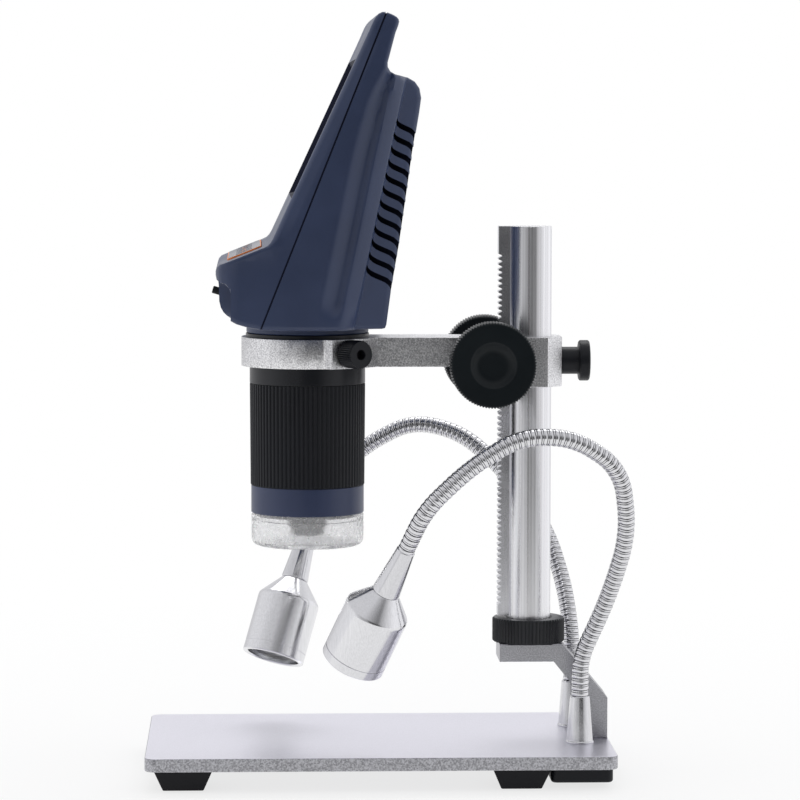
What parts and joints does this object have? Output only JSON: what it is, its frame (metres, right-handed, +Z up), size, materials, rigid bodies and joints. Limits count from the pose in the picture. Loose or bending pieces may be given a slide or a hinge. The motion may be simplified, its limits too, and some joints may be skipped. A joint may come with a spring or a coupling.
{
  "type": "digital microscope",
  "caption": "Desktop digital microscope: tilted display head on a ribbed focus barrel, clamped to a rack-and-pinion column stand with flexible gooseneck lamps over a flat stage.",
  "frame": {"origin": "on the table under the middle of the object's bounding box", "axes": "+Z up along the column; the display looks towards -X and the column stands on the +X side; +Y runs across the base plate, away from the viewer who sees the display on the left"},
  "size_m": [0.2185, 0.1441, 0.3437],
  "materials": {
    "plate_aluminium": "sand-blasted, clear anodised",
    "foot_rubber": "moulded, matt",
    "screw_steel": "machined",
    "black_plastic": "fine texture",
    "board_green": "solder mask",
    "bracket_aluminium": "satin",
    "column_chrome": "polished",
    "rack_aluminium": "milled",
    "black_anodised": "black anodised",
    "arm_aluminium": "sand-blasted, clear anodised",
    "bush_brass": "machined",
    "knob_plastic": "semi-gloss",
    "screw_black": "blackened, knurled rim",
    "navy_plastic": "fine texture",
    "focus_black": "black anodised, ribbed",
    "blue_plastic": "semi-gloss",
    "frosted_cap": "frosted translucent",
    "board_white": "white solder mask",
    "lens_glass": "polished",
    "window_glass": "polished, dark",
    "panel_black": "glossy black",
    "battery_wrap": "plain foil wrap",
    "key_panel_plastic": "fine texture",
    "key_rubber": "matt with orange dot",
    "polished_steel": "polished",
    "gooseneck_steel": "wound, bright",
    "lamp_aluminium": "turned, clear anodised"
  },
  "bodies": {
    "stand": {"base_plate": "plate_aluminium", "rubber_feet": "foot_rubber", "base_screws": "screw_steel", "driver_housing": "black_plastic", "driver_board": "board_green", "power_inlet": "black_plastic", "column_bracket": "bracket_aluminium", "column": "column_chrome", "column_rack": "rack_aluminium", "lamp_socket_near": "polished_steel", "lamp_socket_far": "polished_steel"},
    "column_nut": {"column_nut": "black_anodised"},
    "carriage": {"support_arm": "arm_aluminium", "pinion_bushes": "bush_brass"},
    "focus_shaft": {"pinion_shaft": "screw_steel", "focus_knob_near": "knob_plastic", "focus_knob_far": "knob_plastic", "knob_grub_screws": "screw_steel"},
    "lock_pad": {"lock_pad": "bush_brass"},
    "lock_screw": {"lock_screw": "screw_black"},
    "clamp_pad": {"clamp_pad": "bush_brass"},
    "clamp_screw": {"clamp_screw": "screw_black"},
    "head": {"front_shell": "navy_plastic", "rear_shell": "navy_plastic", "screen_window": "window_glass", "lcd_panel": "panel_black", "main_board": "board_green", "battery_pack": "battery_wrap", "shell_screws": "screw_steel", "control_board": "board_green", "key_panel": "key_panel_plastic", "neck_ring": "navy_plastic", "barrel_tube": "black_anodised", "front_ring": "blue_plastic", "sensor_board": "board_green", "led_ring_board": "board_white", "diffuser_cap": "frosted_cap"},
    "focus_ring": {"focus_ring": "focus_black"},
    "lens_carrier": {"lens_carrier": "black_anodised", "objective_lens": "lens_glass"},
    "dimmer_knob": {"dimmer_knob": "knob_plastic"},
    "key_1": {"key_1": "key_rubber"},
    "key_2": {"key_2": "key_rubber"},
    "key_3": {"key_3": "key_rubber"},
    "key_4": {"key_4": "key_rubber"},
    "key_5": {"key_5": "key_rubber"},
    "neck_near_a": {"neck_near_a": "gooseneck_steel"},
    "neck_near_b": {"neck_near_b": "gooseneck_steel"},
    "neck_near_c": {"neck_near_c": "gooseneck_steel"},
    "lamp_near": {"lamp_connector_near": "polished_steel", "lamp_body_near": "lamp_aluminium", "lamp_lens_near": "lens_glass", "lamp_board_near": "board_white"},
    "neck_far_a": {"neck_far_a": "gooseneck_steel"},
    "neck_far_b": {"neck_far_b": "gooseneck_steel"},
    "neck_far_c": {"neck_far_c": "gooseneck_steel"},
    "lamp_far": {"lamp_connector_far": "polished_steel", "lamp_body_far": "lamp_aluminium", "lamp_lens_far": "lens_glass", "lamp_board_far": "board_white"}
  },
  "joints": [
    {"name": "carriage_slide", "type": "slide", "parent": "stand", "child": "carriage", "axis": [0, 0, 1], "range_m": [-0.06, 0.04]},
    {"name": "focus_turn", "type": "hinge", "parent": "carriage", "child": "focus_shaft", "pos_m": [0.0455, 0, 0.1875], "axis": [0, 1, 0], "range_deg": [-718, 479]},
    {"name": "lock_pad_slide", "type": "slide", "parent": "carriage", "child": "lock_pad", "axis": [1, 0, 0], "range_m": [0, 0.00088]},
    {"name": "lock_screw_turn", "type": "hinge", "parent": "lock_pad", "child": "lock_screw", "pos_m": [0.0826, 0, 0.1875], "axis": [1, 0, 0], "range_deg": [0, 288]},
    {"name": "clamp_pad_slide", "type": "slide", "parent": "carriage", "child": "clamp_pad", "axis": [0.5632, -0.8263, 0], "range_m": [0, 0.00088]},
    {"name": "clamp_screw_turn", "type": "hinge", "parent": "clamp_pad", "child": "clamp_screw", "pos_m": [-0.01672, -0.02975, 0.1923], "axis": [0.5632, -0.8263, 0], "range_deg": [0, 288]},
    {"name": "column_nut_turn", "type": "hinge", "parent": "stand", "child": "column_nut", "pos_m": [0.0641, 0, 0.064], "axis": [0, 0, 1], "range_deg": [0, 120]},
    {"name": "head_turn", "type": "hinge", "parent": "carriage", "child": "head", "pos_m": [-0.037, 0, 0.192], "axis": [0, 0, 1], "continuous": true},
    {"name": "focus_ring_turn", "type": "hinge", "parent": "head", "child": "focus_ring", "pos_m": [-0.037, 0, 0.153], "axis": [0, 0, 1], "range_deg": [-150, 150]},
    {"name": "lens_slide", "type": "slide", "parent": "head", "child": "lens_carrier", "axis": [0, 0, 1], "range_m": [-0.004, 0.004]},
    {"name": "dimmer_turn", "type": "hinge", "parent": "head", "child": "dimmer_knob", "pos_m": [-0.08, 0, 0.22], "axis": [-0.9613, 0, 0.2756], "range_deg": [0, 270]},
    {"name": "key_1_press", "type": "slide", "parent": "head", "child": "key_1", "axis": [0.3699, 0, -0.9291], "range_m": [0, 0.0006], "stiffness_N_per_m": 500, "springref_m": -0.0006},
    {"name": "key_2_press", "type": "slide", "parent": "head", "child": "key_2", "axis": [0.3699, 0, -0.9291], "range_m": [0, 0.0006], "stiffness_N_per_m": 500, "springref_m": -0.0006},
    {"name": "key_3_press", "type": "slide", "parent": "head", "child": "key_3", "axis": [0.3699, 0, -0.9291], "range_m": [0, 0.0006], "stiffness_N_per_m": 500, "springref_m": -0.0006},
    {"name": "key_4_press", "type": "slide", "parent": "head", "child": "key_4", "axis": [0.3699, 0, -0.9291], "range_m": [0, 0.0006], "stiffness_N_per_m": 500, "springref_m": -0.0006},
    {"name": "key_5_press", "type": "slide", "parent": "head", "child": "key_5", "axis": [0.3699, 0, -0.9291], "range_m": [0, 0.0006], "stiffness_N_per_m": 500, "springref_m": -0.0006},
    {"name": "near_lean", "type": "hinge", "parent": "stand", "child": "neck_near_a", "pos_m": [0.086, -0.02314, 0.04193], "axis": [1, 0, 0], "range_deg": [0, 24]},
    {"name": "near_rise", "type": "hinge", "parent": "neck_near_a", "child": "neck_near_b", "pos_m": [0.102, -0.03375, 0.09725], "axis": [0, 1, 0], "range_deg": [-8, 14]},
    {"name": "near_reach", "type": "hinge", "parent": "neck_near_b", "child": "neck_near_c", "pos_m": [0.0675, -0.06, 0.1575], "axis": [0, 1, 0], "range_deg": [-8, 20]},
    {"name": "near_aim", "type": "hinge", "parent": "neck_near_c", "child": "lamp_near", "pos_m": [0.0094, -0.06495, 0.1169], "axis": [1, 0, 0], "range_deg": [-20, 20]},
    {"name": "far_lean", "type": "hinge", "parent": "stand", "child": "neck_far_a", "pos_m": [0.08609, 0.02329, 0.04251], "axis": [-1, 0, 0], "range_deg": [0, 24]},
    {"name": "far_rise", "type": "hinge", "parent": "neck_far_a", "child": "neck_far_b", "pos_m": [0.07975, 0.0365, 0.092], "axis": [0, 1, 0], "range_deg": [-8, 14]},
    {"name": "far_reach", "type": "hinge", "parent": "neck_far_b", "child": "neck_far_c", "pos_m": [0.0255, 0.064, 0.15175], "axis": [0, 1, 0], "range_deg": [-8, 20]},
    {"name": "far_aim", "type": "hinge", "parent": "neck_far_c", "child": "lamp_far", "pos_m": [-0.0331, 0.0647, 0.11165], "axis": [-1, 0, 0], "range_deg": [-20, 20]}
  ],
  "couplings": [
    {"joint": "focus_turn", "follows": "carriage_slide", "rad_per_m": 208.33},
    {"joint": "lock_pad_slide", "follows": "lock_screw_turn", "m_per_rad": 0.00015915},
    {"joint": "clamp_pad_slide", "follows": "clamp_screw_turn", "m_per_rad": 0.00015915},
    {"joint": "lens_slide", "follows": "focus_ring_turn", "m_per_rad": 0.0015279}
  ]
}
